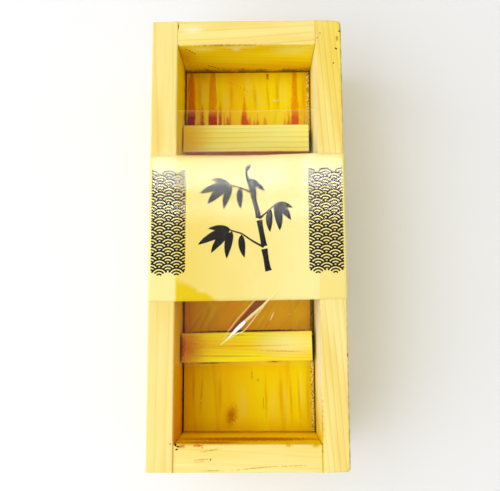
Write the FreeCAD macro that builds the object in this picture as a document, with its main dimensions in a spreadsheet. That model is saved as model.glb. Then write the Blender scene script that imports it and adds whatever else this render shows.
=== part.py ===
import FreeCAD, Part

import os
import Sketcher

# Box press for pressed sushi, in pale cypress wood, packed together as it is sold.
# X is across the box, Y along it (+Y is the far end), Z up from the surface that the feet stand on.
# The base stands on its two feet. The bottomless frame goes round the base board and rests on the feet.
# The press board lies inside on the base board. A printed paper band lies over the box.

os.makedirs("parts", exist_ok=True)
doc = FreeCAD.newDocument("sushi_press")

SIZES = {
    # Frame
    "box_length": 204.0,
    "box_width": 88.0,
    "frame_height": 52.0,
    "side_thick": 12.0,
    "end_thick": 12.0,
    "outer_round": 0.9,
    "rim_round": 0.25,
    # Frame nails
    "nail_shank_radius": 0.8,
    "nail_head_radius": 1.7,
    "nail_head_thick": 0.7,
    "nail_length": 30.0,
    "nail_tip": 2.4,
    "nail_clearance": 0.05,
    "nail_margin": 9.0,
    # Base
    "foot_height": 12.0,
    "foot_width": 14.0,
    "foot_inset": 44.0,
    "base_thick": 10.0,
    "base_gap": 0.6,
    # Press
    "press_thick": 10.0,
    "press_side_gap": 1.25,
    "press_end_gap": 0.4,
    "press_left_gap": 0.5,
    "batten_width": 13.8,
    "batten_height": 12.0,
    "batten_round": 0.5,
    "far_batten_inset": 31.4,
    "near_batten_inset": 33.4,
    "near_batten_skew": 0.9,
    # Pegs
    "peg_radius": 1.5,
    "peg_clearance": 0.05,
    "peg_bite": 8.0,
    "peg_spread": 19.0,
    "foot_peg_spread": 21.0,
    # Wrapping
    "band_length": 67.0,
    "band_centre": 4.6,
    "band_thick": 0.3,
    "band_seat": 0.1,
    "band_drop": 44.0,
}

# Sizes that follow from the ones above
DERIVED = {
    "cavity_width": "=box_width - 2 * side_thick",
    "cavity_length": "=box_length - 2 * end_thick",
    "rim_level": "=foot_height + frame_height",
    "base_width": "=cavity_width - 2 * base_gap",
    "base_length": "=cavity_length - 2 * base_gap",
    "base_top": "=foot_height + base_thick",
    "foot_place": "=box_length / 2 - foot_inset - foot_width / 2",
    "press_width": "=cavity_width - 2 * press_side_gap",
    "press_length": "=cavity_length - 2 * press_end_gap",
    "press_top": "=base_top + press_thick",
    "press_shift": "=press_left_gap - press_side_gap",
    "far_batten_place": "=press_length / 2 - far_batten_inset - batten_width / 2",
    "near_batten_place": "=near_batten_inset + batten_width / 2 - press_length / 2",
    "nail_hole_radius": "=nail_shank_radius + nail_clearance",
    "head_hole_radius": "=nail_head_radius + nail_clearance",
    "head_hole_depth": "=nail_head_thick + nail_clearance",
    "nail_bite": "=nail_length - side_thick + nail_clearance",
    "nail_row": "=box_length / 2 - end_thick / 2",
    "nail_step": "=(frame_height - 2 * nail_margin) / 2",
    "peg_hole_radius": "=peg_radius + peg_clearance",
    "peg_hole_depth": "=peg_bite + peg_clearance",
    "band_level": "=rim_level + band_seat",
    "band_inside": "=box_width + 2 * band_seat",
}

sheet = doc.addObject("Spreadsheet::Sheet", "Sizes")
row = 1
for alias, value in list(SIZES.items()) + list(DERIVED.items()):
    sheet.set(f"A{row}", alias)
    sheet.set(f"B{row}", str(value))
    sheet.setAlias(f"B{row}", alias)
    row += 1
doc.recompute()

pieces = []


def size(alias):
    """The present value of a size."""
    return float(sheet.get(alias))


def place(piece, x="0", y="0", z="0", turn=0, skew=None):
    """Puts a piece at a place bound to the sheet, turned about Z by whole degrees or by a bound skew."""
    piece.Placement.Rotation = FreeCAD.Rotation(FreeCAD.Vector(0, 0, 1), turn)
    if skew:
        piece.setExpression("Placement.Rotation.Angle", skew)
    for axis, words in (("x", x), ("y", y), ("z", z)):
        if words != "0":
            piece.setExpression(f"Placement.Base.{axis}", words)


def plane_of(body, role):
    """The body's own origin plane with this role."""
    for feature in body.Origin.OriginFeatures:
        if feature.Role == role:
            return feature
    raise ValueError(role)


def sketch_on(body, name, role, offset=None):
    """A sketch on one of the body's origin planes, moved along the plane's normal by a bound offset."""
    sketch = body.newObject("Sketcher::SketchObject", name)
    sketch.AttachmentSupport = (plane_of(body, role), [""])
    sketch.MapMode = "FlatFace"
    if offset:
        sketch.setExpression("AttachmentOffset.Base.z", offset)
    return sketch


def outline(sketch, wide, long):
    """A rectangle centred on the sketch's origin, its two sides bound to the sheet."""
    half_w = 10.0
    half_l = 20.0
    corners = [(-half_w, -half_l), (half_w, -half_l), (half_w, half_l), (-half_w, half_l)]
    for i in range(4):
        start = FreeCAD.Vector(*corners[i], 0)
        end = FreeCAD.Vector(*corners[(i + 1) % 4], 0)
        sketch.addGeometry(Part.LineSegment(start, end), False)
    for i in range(4):
        sketch.addConstraint(Sketcher.Constraint("Coincident", i, 2, (i + 1) % 4, 1))
    for i in (0, 2):
        sketch.addConstraint(Sketcher.Constraint("Horizontal", i))
        sketch.addConstraint(Sketcher.Constraint("Vertical", i + 1))
    sketch.addConstraint(Sketcher.Constraint("Symmetric", 0, 1, 1, 2, -1, 1))
    named_distance(sketch, "wide", "DistanceX", (0, 1, 0, 2), wide)
    named_distance(sketch, "long", "DistanceY", (1, 1, 1, 2), long)


def named_distance(sketch, name, kind, ends, words):
    """A distance constraint with a name, bound to the sheet."""
    index = sketch.addConstraint(Sketcher.Constraint(kind, *ends, 1.0))
    sketch.renameConstraint(index, name)
    sketch.setExpression(f"Constraints.{name}", words)


def circles(sketch, places, radius):
    """One circle at each bound place, all of one bound radius."""
    for i, (across, up) in enumerate(places):
        sketch.addGeometry(Part.Circle(FreeCAD.Vector(5, 5, 0), FreeCAD.Vector(0, 0, 1), 1.0), False)
        index = sketch.addConstraint(Sketcher.Constraint("Radius", i, 1.0))
        sketch.renameConstraint(index, f"radius{i}")
        sketch.setExpression(f"Constraints.radius{i}", radius)
        named_distance(sketch, f"across{i}", "DistanceX", (-1, 1, i, 3), across)
        named_distance(sketch, f"up{i}", "DistanceY", (-1, 1, i, 3), up)


def board(node, wide, long, tall):
    """A board as a body of its own: a centred rectangle padded upwards."""
    body = doc.addObject("PartDesign::Body", node)
    body.Label = node
    sketch = sketch_on(body, node + "_outline", "XY_Plane")
    outline(sketch, wide, long)
    pad = body.newObject("PartDesign::Pad", node + "_pad")
    pad.Profile = sketch
    pad.setExpression("Length", tall)
    doc.recompute()
    pieces.append(body)
    return body


def drill(body, name, role, places, radius, depth, offset=None, back=False):
    """Round holes from an origin plane, or a plane beside it. Checks that they take wood away."""
    before = body.Shape.Volume
    sketch = sketch_on(body, name + "_places", role, offset)
    circles(sketch, places, radius)
    pocket = body.newObject("PartDesign::Pocket", name)
    pocket.Profile = sketch
    pocket.setExpression("Length", depth)
    pocket.Reversed = back
    doc.recompute()
    assert body.Shape.Volume < before, name + " cuts nothing"


def ease(body, name, radius, chosen):
    """Rounds the edges of the body's tip that the test picks by their middle point and direction."""
    tip = body.Tip
    names = []
    for i, edge in enumerate(tip.Shape.Edges):
        along = edge.Vertexes[-1].Point - edge.Vertexes[0].Point
        straight = near(edge.Length, along.Length)
        if straight and chosen(edge.CenterOfMass, along):
            names.append(f"Edge{i + 1}")
    fillet = body.newObject("PartDesign::Fillet", name)
    fillet.Base = (tip, names)
    fillet.setExpression("Radius", radius)
    doc.recompute()


def near(value, target):
    return abs(value - target) < 0.01


def group(node, members):
    """Like fasteners as one node of separate solids."""
    compound = doc.addObject("Part::Compound", node)
    compound.Label = node
    compound.Links = members
    pieces.append(compound)
    return compound


# Side boards: they run the full length of the box, and the nails go in through them.
# Local X points out of the box.
nail_heights = [f"Sizes.nail_margin + {i} * Sizes.nail_step" for i in range(3)]
nail_places = [(f"{end} * Sizes.nail_row", height) for end in (-1, 1) for height in nail_heights]
for side, turn in (("left", 180), ("right", 0)):
    out = "1" if side == "right" else "-1"
    body = board(f"{side}_side_board", "Sizes.side_thick", "Sizes.box_length", "Sizes.frame_height")
    half_thick = size("side_thick") / 2
    half_long = size("box_length") / 2
    tall = size("frame_height")
    ease(
        body,
        side + "_outer_round",
        "Sizes.outer_round",
        lambda middle, along: (near(middle.x, half_thick) and abs(along.z) > 1)
        or (near(middle.x, half_thick) and abs(along.y) > 1)
        or (near(abs(middle.y), half_long) and abs(along.x) > 1),
    )
    ease(
        body,
        side + "_rim_round",
        "Sizes.rim_round",
        lambda middle, along: near(middle.x, -half_thick) and near(middle.z, tall) and abs(along.y) > 1,
    )
    drill(
        body,
        side + "_nail_holes",
        "YZ_Plane",
        nail_places,
        "Sizes.nail_hole_radius",
        "Sizes.side_thick",
        offset="-Sizes.side_thick / 2",
        back=True,
    )
    drill(
        body,
        side + "_head_holes",
        "YZ_Plane",
        nail_places,
        "Sizes.head_hole_radius",
        "Sizes.head_hole_depth",
        offset="Sizes.side_thick / 2",
    )
    place(body, x=f"{out} * (Sizes.box_width - Sizes.side_thick) / 2", z="Sizes.foot_height", turn=turn)

# End boards: they fit between the side boards, and the nails bite into their end grain.
for end in ("far", "near"):
    way = "1" if end == "far" else "-1"
    body = board(f"{end}_end_board", "Sizes.cavity_width", "Sizes.end_thick", "Sizes.frame_height")
    half_thick = size("end_thick") / 2
    tall = size("frame_height")
    outside = half_thick if end == "far" else -half_thick
    ease(
        body,
        end + "_outer_round",
        "Sizes.outer_round",
        lambda middle, along: near(middle.y, outside) and abs(along.x) > 1,
    )
    ease(
        body,
        end + "_rim_round",
        "Sizes.rim_round",
        lambda middle, along: near(middle.y, -outside) and near(middle.z, tall) and abs(along.x) > 1,
    )
    for side, sign, back in (("left", "-", True), ("right", "", False)):
        drill(
            body,
            f"{end}_{side}_pilot_holes",
            "YZ_Plane",
            [("0", height) for height in nail_heights],
            "Sizes.nail_hole_radius",
            "Sizes.nail_bite",
            offset=f"{sign}Sizes.cavity_width / 2",
            back=back,
        )
    place(body, y=f"{way} * Sizes.nail_row", z="Sizes.foot_height")


def nail(name, side, way, height):
    """One round-headed nail that points into the box: head, shank and tip."""
    out = 1 if side == "right" else -1
    head = doc.addObject("Part::Cylinder", name + "_head")
    head.setExpression("Radius", "Sizes.nail_head_radius")
    head.setExpression("Height", "Sizes.nail_head_thick")
    shank = doc.addObject("Part::Cylinder", name + "_shank")
    shank.setExpression("Radius", "Sizes.nail_shank_radius")
    shank.setExpression("Height", "Sizes.nail_length - Sizes.nail_tip")
    tip = doc.addObject("Part::Cone", name + "_tip")
    tip.setExpression("Radius1", "Sizes.nail_shank_radius")
    tip.Radius2 = 0
    tip.setExpression("Height", "Sizes.nail_tip")
    tip.setExpression("Placement.Base.z", "Sizes.nail_length - Sizes.nail_tip")
    whole = doc.addObject("Part::MultiFuse", name)
    whole.Shapes = [head, shank, tip]
    whole.Placement.Rotation = FreeCAD.Rotation(FreeCAD.Vector(0, 0, 1), FreeCAD.Vector(-out, 0, 0))
    whole.setExpression("Placement.Base.x", f"{out} * Sizes.box_width / 2")
    whole.setExpression("Placement.Base.y", f"{way} * Sizes.nail_row")
    whole.setExpression("Placement.Base.z", f"Sizes.foot_height + {height}")
    return whole


for end, way in (("far", 1), ("near", -1)):
    for side in ("left", "right"):
        corner = f"{end}_{side}_nails"
        members = [nail(f"{corner}_{i + 1}", side, way, height) for i, height in enumerate(nail_heights)]
        group(corner, members)


def pegs(node, spread, board_thick, x, y, z, skew=None):
    """Two round pegs that go up through a board and into a batten, or down into a foot."""
    members = []
    for i, sign in enumerate(("-", "")):
        peg = doc.addObject("Part::Cylinder", f"{node}_{i + 1}")
        peg.setExpression("Radius", "Sizes.peg_radius")
        peg.setExpression("Height", f"{board_thick} + Sizes.peg_bite")
        peg.setExpression("Placement.Base.x", f"{sign}{spread}")
        members.append(peg)
    place(group(node, members), x=x, y=y, z=z, skew=skew)


# Peg places in a board's own frame: one pair for each batten or foot
def pair(spread, y):
    return [(f"-{spread}", y), (spread, y)]


def skewed_pair(spread, y, skew):
    """The pair's places once its batten is turned by the skew."""
    return [
        (f"{sign}{spread} * cos({skew} * 1 deg)", f"{y} {turned} {spread} * sin({skew} * 1 deg)")
        for sign, turned in (("-", "-"), ("", "+"))
    ]


# Base board: it fits the frame from below and lies on the feet.
body = board("base_board", "Sizes.base_width", "Sizes.base_length", "Sizes.base_thick")
for end, sign in (("far", ""), ("near", "-")):
    drill(
        body,
        f"base_{end}_peg_holes",
        "XY_Plane",
        pair("Sizes.foot_peg_spread", f"{sign}Sizes.foot_place"),
        "Sizes.peg_hole_radius",
        "Sizes.base_thick",
        back=True,
    )
ease(body, "base_round", "Sizes.rim_round", lambda middle, along: abs(along.z) > 1)
place(body, z="Sizes.foot_height")

# Feet: cross battens under the base board, as wide as the box, which the frame rests on.
for end, sign in (("far", ""), ("near", "-")):
    body = board(f"{end}_base_foot", "Sizes.box_width", "Sizes.foot_width", "Sizes.foot_height")
    drill(
        body,
        f"{end}_foot_holes",
        "XY_Plane",
        pair("Sizes.foot_peg_spread", "0"),
        "Sizes.peg_hole_radius",
        "Sizes.peg_hole_depth",
        offset="Sizes.foot_height",
    )
    ease(
        body,
        f"{end}_foot_round",
        "Sizes.outer_round",
        lambda middle, along: near(middle.z, 0) or abs(along.z) > 1,
    )
    place(body, y=f"{sign}Sizes.foot_place")
    pegs(
        f"{end}_foot_pegs",
        "Sizes.foot_peg_spread",
        "Sizes.base_thick",
        "0",
        f"{sign}Sizes.foot_place",
        "Sizes.foot_height - Sizes.peg_bite",
    )

# Press board: the lid that is pushed down on the rice, pushed against the left side in the box.
skew = "Sizes.near_batten_skew"
spread = "Sizes.peg_spread"
body = board("press_board", "Sizes.press_width", "Sizes.press_length", "Sizes.press_thick")
for end, places in (
    ("far", pair(spread, "Sizes.far_batten_place")),
    ("near", skewed_pair(spread, "Sizes.near_batten_place", skew)),
):
    drill(
        body,
        f"press_{end}_peg_holes",
        "XY_Plane",
        places,
        "Sizes.peg_hole_radius",
        "Sizes.press_thick",
        back=True,
    )
ease(body, "press_round", "Sizes.rim_round", lambda middle, along: abs(along.z) > 1)
place(body, x="Sizes.press_shift", z="Sizes.base_top")

# Press battens: thumb grips on the press board. The near one is set a little askew.
for end, turned in (("far", None), ("near", skew)):
    body = board(f"{end}_press_batten", "Sizes.press_width", "Sizes.batten_width", "Sizes.batten_height")
    drill(
        body,
        f"{end}_batten_holes",
        "XY_Plane",
        pair(spread, "0"),
        "Sizes.peg_hole_radius",
        "Sizes.peg_hole_depth",
        back=True,
    )
    tall = size("batten_height")
    ease(
        body,
        f"{end}_batten_round",
        "Sizes.batten_round",
        lambda middle, along: near(middle.z, tall) or abs(along.z) > 1,
    )
    across = f"Sizes.{end}_batten_place"
    place(body, x="Sizes.press_shift", y=across, z="Sizes.press_top", skew=turned)
    pegs(
        f"{end}_batten_pegs",
        spread,
        "Sizes.press_thick",
        "Sizes.press_shift",
        across,
        "Sizes.base_top",
        skew=turned,
    )


def saddle(node, inside, thick, drop, long, centre, level):
    """A sheet folded over the box: flat over the rim and down both long sides, open below."""
    body = doc.addObject("PartDesign::Body", node)
    body.Label = node
    sketch = sketch_on(body, node + "_section", "XZ_Plane")
    inner = size(inside) / 2
    outer = inner + size(thick)
    top = size(thick)
    low = -size(drop)
    points = [(-outer, low), (-outer, top), (outer, top), (outer, low)]
    points += [(inner, low), (inner, 0), (-inner, 0), (-inner, low)]
    count = len(points)
    for i in range(count):
        start = FreeCAD.Vector(*points[i], 0)
        end = FreeCAD.Vector(*points[(i + 1) % count], 0)
        sketch.addGeometry(Part.LineSegment(start, end), False)
    for i in range(count):
        sketch.addConstraint(Sketcher.Constraint("Coincident", i, 2, (i + 1) % count, 1))
    for i in (0, 2, 4, 6):
        sketch.addConstraint(Sketcher.Constraint("Vertical", i))
    for i in (3, 7):
        sketch.addConstraint(Sketcher.Constraint("Horizontal", i))
    for i in (1, 5):
        sketch.addConstraint(Sketcher.Constraint("Symmetric", i, 1, i, 2, -2))
    sketch.addConstraint(Sketcher.Constraint("Equal", 4, 6))
    sketch.addConstraint(Sketcher.Constraint("PointOnObject", 5, 1, -1))
    named_distance(sketch, "inside", "DistanceX", (5, 2, 5, 1), f"Sizes.{inside}")
    named_distance(sketch, "side", "DistanceX", (0, 1, 7, 1), f"Sizes.{thick}")
    named_distance(sketch, "top", "DistanceY", (-1, 1, 1, 1), f"Sizes.{thick}")
    named_distance(sketch, "drop", "DistanceY", (4, 1, 4, 2), f"Sizes.{drop}")
    pad = body.newObject("PartDesign::Pad", node + "_pad")
    pad.Profile = sketch
    pad.setExpression("Length", f"Sizes.{long}")
    pad.Midplane = True
    doc.recompute()
    pieces.append(body)
    place(body, y=f"Sizes.{centre}", z=f"Sizes.{level}")


# Wrapping: the printed paper band
saddle("paper_band", "band_inside", "band_thick", "band_drop", "band_length", "band_centre", "band_level")

doc.recompute()
for thing in doc.Objects:
    assert "Invalid" not in thing.State and "Error" not in thing.State, thing.Name + " failed"
for piece in pieces:
    assert not piece.Shape.isNull() and piece.Shape.isValid(), piece.Label + " has no good shape"
for piece in pieces:
    piece.Shape.exportStep(f"parts/{piece.Label}.step")
    box = piece.Shape.BoundBox
    corners = [round(v, 2) for v in (box.XMin, box.YMin, box.ZMin, box.XMax, box.YMax, box.ZMax)]
    print(piece.Label, len(piece.Shape.Solids), round(piece.Shape.Volume, 1), corners)
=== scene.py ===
import math

import bpy
import numpy as np
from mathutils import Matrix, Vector, noise


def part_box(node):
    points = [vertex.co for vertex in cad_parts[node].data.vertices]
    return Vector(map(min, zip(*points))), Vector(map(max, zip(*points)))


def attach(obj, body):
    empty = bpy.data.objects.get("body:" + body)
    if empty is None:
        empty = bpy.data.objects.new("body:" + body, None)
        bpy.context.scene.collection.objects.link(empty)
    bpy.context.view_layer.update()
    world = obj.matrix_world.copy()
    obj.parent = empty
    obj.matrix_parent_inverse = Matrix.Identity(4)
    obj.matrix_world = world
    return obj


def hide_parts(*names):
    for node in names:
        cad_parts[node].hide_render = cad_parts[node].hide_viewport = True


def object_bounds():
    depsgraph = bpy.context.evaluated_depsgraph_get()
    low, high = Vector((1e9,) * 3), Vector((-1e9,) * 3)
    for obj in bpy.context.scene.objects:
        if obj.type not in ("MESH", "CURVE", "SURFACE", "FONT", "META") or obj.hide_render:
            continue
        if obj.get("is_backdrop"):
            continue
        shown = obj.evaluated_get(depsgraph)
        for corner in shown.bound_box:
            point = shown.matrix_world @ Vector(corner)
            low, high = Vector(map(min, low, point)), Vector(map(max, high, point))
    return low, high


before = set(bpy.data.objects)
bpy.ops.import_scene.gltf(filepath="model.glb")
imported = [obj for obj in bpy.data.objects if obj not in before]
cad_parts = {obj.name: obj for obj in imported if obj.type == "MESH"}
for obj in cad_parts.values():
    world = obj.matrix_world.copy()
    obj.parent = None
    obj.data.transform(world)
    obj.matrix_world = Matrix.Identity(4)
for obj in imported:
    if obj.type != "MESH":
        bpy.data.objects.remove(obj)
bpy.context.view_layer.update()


# Camera
# It looks down into the box from 283 mm above the rim, a few degrees off the vertical and from the near end.
# Everything here is in mm, and MM turns it into the metres of the frame.
MM = 0.001
EYE = Vector((5.24, -40.57, 346.78))
TILT = (7.35, 0.83, -0.22)  # degrees
FOCAL_LENGTH_PX = 639.2
IMAGE_WIDTH_PX = 500

camera_data = bpy.data.cameras.new("camera")
camera_data.sensor_width = 36.0
camera_data.lens = camera_data.sensor_width * FOCAL_LENGTH_PX / IMAGE_WIDTH_PX
camera_data.clip_start = 10 * MM
camera = bpy.data.objects.new("camera", camera_data)
camera.location = EYE * MM
camera.rotation_euler = [math.radians(a) for a in TILT]
bpy.context.scene.collection.objects.link(camera)
bpy.context.scene.camera = camera


# Base board
# The tray that the rice sits on: one planed board of Japanese cypress that fits the frame from below.
# Planed cypress is pale yellow with thin amber late-wood lines and a dull silky surface.
BASE_PALE, BASE_WARM, BASE_LATE = "#FBE48A", "#F2D266", "#D6A238"
BASE_EDGE = 0.5  # mm, the roundness of its arrises
SHARP = 0.1  # mm, the roundness of an arris where another board is planed flush with it
WEAR = 0.4  # share by which the roundness of an arris wanders
WEAR_WAVE = 21.0  # mm along an arris over which it does
HAIR = 0.05  # mm that a board stops inside its space, so that nail heads and pegs stay proud of it
RING_SCALE = 0.314  # the wave texture's scale at which its rings lie a metre apart
BEND_EVERY, BEND_BY = 24.0, 5.0  # mm between bends of the grain, and how far they push it
CLOUD = 11.0  # mm across a cloud of deeper colour
FIBRE, FIBRE_DEPTH = 1.0, 0.12  # mm. Real fibres are finer, and would not show.
DULL = 0.03  # specular level of bare wood, paper and ink, which hardly shine


def linear(hex_colour):
    """An sRGB hex colour as linear RGBA."""
    channels = [int(hex_colour[i : i + 2], 16) / 255 for i in (1, 3, 5)]
    return [c / 12.92 if c <= 0.04045 else ((c + 0.055) / 1.055) ** 2.4 for c in channels] + [1.0]


def node(tree, kind, inputs, out=0, stops=(), **settings):
    """Adds a shader node, sets or links its inputs, and gives back one of its outputs."""
    made = tree.nodes.new("ShaderNode" + kind)
    for key, value in settings.items():
        setattr(made, key, value)
    for key, value in (inputs if isinstance(inputs, dict) else dict(enumerate(inputs))).items():
        if isinstance(value, bpy.types.NodeSocket):
            tree.links.new(value, made.inputs[key])
        else:
            made.inputs[key].default_value = value
    for i, (place, colour) in enumerate(stops):
        element = made.color_ramp.elements[i] if i < 2 else made.color_ramp.elements.new(place)
        element.position = place
        element.color = linear(colour)
    return made.outputs[out]


def bare_finish(name, roughness, shine=0.5):
    """A new material with only its shader in it, and after it its tree and that shader."""
    material = bpy.data.materials.new(name)
    material.use_nodes = True
    shader = material.node_tree.nodes["Principled BSDF"]
    shader.inputs["Roughness"].default_value = roughness
    shader.inputs["Specular IOR Level"].default_value = shine
    return material, material.node_tree, shader


def cypress(name, pale, warm, late, along="Y", pith=(0, 0, -60), lean=(0, 0), ring=2.6, line=0.5, seed=0):
    """Bare planed cypress: pale early wood, warmer clouds and fibres, and thin late-wood lines.
    Its rings lie round a pith line that leans through the board, so that faces get long lines and cut ends
    get arcs. Sizes in mm, lean in degrees, line from 0 to 1 for how strong the rings are."""
    material, tree, shader = bare_finish(name, 0.6, DULL)
    place = node(tree, "TexCoord", (), out=3)
    turn = (math.radians(lean[0]), 0, math.radians(lean[1]) + (math.pi / 2 if along == "X" else 0))
    from_pith = node(tree, "VectorMath", (place, Vector(pith) * MM), operation="SUBTRACT")
    grain = node(tree, "Mapping", {"Vector": from_pith, "Rotation": turn})
    # Along the grain, bends and clouds are drawn out to about seven times their width, and fibres to 45 times.
    slow = node(tree, "VectorMath", (grain, (1, 0.15, 1)), operation="MULTIPLY")
    bends = {"Vector": slow, "W": float(seed), "Scale": 1 / (BEND_EVERY * MM)}
    bends = node(tree, "TexNoise", bends, out=1, noise_dimensions="4D")
    bent = node(tree, "VectorMath", (bends, (BEND_BY * MM, 0, BEND_BY * MM), grain), operation="MULTIPLY_ADD")
    rings = {"Vector": bent, "Scale": RING_SCALE / (ring * MM)}
    rings = node(tree, "TexWave", rings, out=1, wave_type="RINGS", rings_direction="Y", wave_profile="SAW")
    late_line = ((0.0, "#000000"), (1.0, "#000000"), (0.45, "#101010"), (0.8, "#707070"), (0.94, "#FFFFFF"))
    late_line = node(tree, "ValToRGB", (rings,), stops=late_line)
    fast = node(tree, "VectorMath", (grain, (1, 0.022, 1)), operation="MULTIPLY")
    fibre = node(tree, "TexNoise", {"Vector": fast, "Scale": 1 / (FIBRE * MM), "Detail": 3.0, "Roughness": 0.6})
    clouds = node(tree, "TexNoise", {"Vector": slow, "Scale": 1 / (CLOUD * MM)})
    strength = node(tree, "MapRange", (clouds, 0.3, 0.7, 0.35 * line, line))
    late_line = node(tree, "Math", (late_line, strength), operation="MULTIPLY")
    tone = node(tree, "MapRange", (clouds, 0.32, 0.72), interpolation_type="SMOOTHSTEP")
    ground = node(tree, "Mix", {0: tone, 6: linear(pale), 7: linear(warm)}, out=2, data_type="RGBA")
    streaks = node(tree, "MapRange", (fibre, 0.45, 0.8, 0.0, 0.5))
    ground = node(tree, "Mix", {0: streaks, 6: ground, 7: linear(warm)}, out=2, data_type="RGBA")
    ground = node(tree, "Mix", {0: late_line, 6: ground, 7: linear(late)}, out=2, data_type="RGBA")
    tree.links.new(ground, shader.inputs["Base Color"])
    height = node(tree, "Math", (late_line, 0.8, fibre), operation="MULTIPLY_ADD")
    bump = node(tree, "Bump", {"Height": height, "Strength": 0.3, "Distance": FIBRE_DEPTH * MM})
    tree.links.new(bump, shader.inputs["Normal"])
    tree.links.new(node(tree, "MapRange", (fibre, 0.3, 0.8, 0.52, 0.68)), shader.inputs["Roughness"])
    shader.inputs["IOR"].default_value = 1.45
    return material


def box_mm(name):
    """The lowest and highest corners of a CAD node, in mm."""
    low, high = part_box(name)
    return Vector(low) / MM, Vector(high) / MM


def stations(length, edge, step):
    """Places along one side of a board from its middle, close together at its two edges, in mm."""
    close = [0, 0.25 * edge, 0.5 * edge, 0.75 * edge, edge, 1.6 * edge, 3 * edge]
    count = max(2, round((length - 6 * edge) / step))
    middle = [3 * edge + (length - 6 * edge) * i / count for i in range(1, count)]
    return [c - length / 2 for c in close + middle] + [length / 2 - c for c in reversed(close)]


def plank(name, low, high, edge, material, body, stands_for, slot, seed, skew=0.0, step=3.0, chips=(), butted=None):
    """A board whose arrises are eased by a radius that wanders. Sizes in mm, skew in degrees.
    chips are (place, reach, depth): bruises that take more off the arris near a place.
    butted says of a place whether another board is planed flush with this one there, so that it stays sharp."""
    centre = (low + high) / 2
    half = (high - low) / 2 - Vector((HAIR, HAIR, HAIR))
    lines = [stations(2 * half[k], edge, step) for k in range(3)]
    turn = math.radians(skew)
    numbers = {}
    points = []

    def corner(key):
        if key in numbers:
            return numbers[key]
        point = Vector([lines[k][key[k]] for k in range(3)])
        where = point + centre
        eased = edge * (1 + WEAR * noise.noise(where / WEAR_WAVE + Vector((seed, 0, 0))))
        eased += 0.35 * edge * WEAR * noise.noise(5 * where / WEAR_WAVE + Vector((0, seed, 0)))
        if butted and butted(where):
            eased = SHARP
        for place, reach, depth in chips:
            away = (where - Vector(place)).length / reach
            eased += depth * (1 - away * away) ** 2 if away < 1 else 0
        core = Vector([max(eased - half[k], min(half[k] - eased, point[k])) for k in range(3)])
        out = point - core
        if out.length > 1e-6:
            point = core + out.normalized() * min(eased, out.length)
        x = point.x * math.cos(turn) - point.y * math.sin(turn)
        y = point.x * math.sin(turn) + point.y * math.cos(turn)
        numbers[key] = len(points)
        points.append((Vector((x, y, point.z)) + centre) * MM)
        return numbers[key]

    quads = []
    for k in range(3):
        a, b = (k + 1) % 3, (k + 2) % 3
        for end in (0, len(lines[k]) - 1):
            for i in range(len(lines[a]) - 1):
                for j in range(len(lines[b]) - 1):
                    keys = []
                    for di, dj in ((0, 0), (1, 0), (1, 1), (0, 1)):
                        key = [0, 0, 0]
                        key[k], key[a], key[b] = end, i + di, j + dj
                        keys.append(corner(tuple(key)))
                    quads.append(keys if end else keys[::-1])
    return settle(name, points, quads, material, body, stands_for)


def settle(name, points, faces, material, body, stands_for):
    """Makes a smooth mesh of points in metres, and puts it on its body as a piece."""
    mesh = bpy.data.meshes.new(name)
    mesh.from_pydata(points, [], faces)
    mesh.polygons.foreach_set("use_smooth", [True] * len(mesh.polygons))
    mesh.materials.append(material)
    mesh.update()
    piece = bpy.data.objects.new(name, mesh)
    bpy.context.scene.collection.objects.link(piece)
    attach(piece, body)
    if stands_for:
        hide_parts(*stands_for)
    return piece


base_cypress = cypress("planed cypress, base", BASE_PALE, BASE_WARM, BASE_LATE, pith=(10, 0, -50), seed=8)
plank("base_tray", *box_mm("base_board"), BASE_EDGE, base_cypress, "base", ["base_board"], "base_wood", seed=31)


# Base feet
# Two cross feet of the same cypress, as wide as the frame, which stands on them. They are pegged to the base
# board from below, and their arrises are planed off a little more.
FOOT_EDGE = 0.8

foot_cypress = cypress(
    "planed cypress, feet", BASE_PALE, BASE_WARM, BASE_LATE, along="X", pith=(0, 20, -30), ring=2.0, seed=9
)
for end in ("far", "near"):
    foot = f"{end}_base_foot"
    plank(f"{end}_foot", *box_mm(foot), FOOT_EDGE, foot_cypress, "base", [foot], "base_wood", seed=35)


# Pegs
# Round pegs of split bamboo hold the feet and the battens. They are driven through the boards and cut flush,
# and their cut ends show dark fibre dots in a straw ground.
PEG_DOT = 0.35  # mm between fibre bundles

peg_bamboo, tree, shader = bare_finish("split bamboo, cut end", 0.55)
place = node(tree, "TexCoord", (), out=3)
drawn = node(tree, "VectorMath", (place, (1, 1, 0.05)), operation="MULTIPLY")
dots = node(tree, "TexVoronoi", {"Vector": drawn, "Scale": 1 / (PEG_DOT * MM)})
straw = ((0.0, "#8A6630"), (1.0, "#E6D09A"), (0.25, "#B08A4C"), (0.5, "#DDC48A"))
dots = node(tree, "ValToRGB", (dots,), stops=straw)
tree.links.new(dots, shader.inputs["Base Color"])
for name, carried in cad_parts.items():
    if name.endswith("_pegs"):
        carried.data.materials.clear()
        carried.data.materials.append(peg_bamboo)


# Frame boards
# Four boards of flat-sawn cypress, butted and nailed at the corners, the long ones running the full length.
# Their grain lines slant and close up. Light and shade are painted on the faces inside the box, and the lid's line
# is grimy.
RIM_PALE, RIM_WARM, RIM_LATE = "#FFEC94", "#FADA70", "#E4C038"
GRIME = "#2C1A06"
GRIME_SPECK, GRIME_PATCH = 0.9, 9.0  # mm across a speck, and across a patch of them
RAGGED_GRAIN = 1.1  # mm between the dents in the outline of a stain
DARK_PATCH_SPACING = 4.0  # mm along an arris between dark patches
FRAME_EDGE = 0.8
rim = box_mm("far_end_board")[1].z
lid = box_mm("press_board")[1].z  # the height of its upper face
well_x = box_mm("far_end_board")[1].x  # from the middle to the inner faces
well_y = box_mm("far_end_board")[0].y


def axis(material, k):
    """The part's x, y or z across a finish, in mm."""
    tree = material.node_tree
    place = node(tree, "SeparateXYZ", (node(tree, "TexCoord", (), out=3),), out=k)
    return node(tree, "Math", (place, 1 / MM), operation="MULTIPLY")


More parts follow.
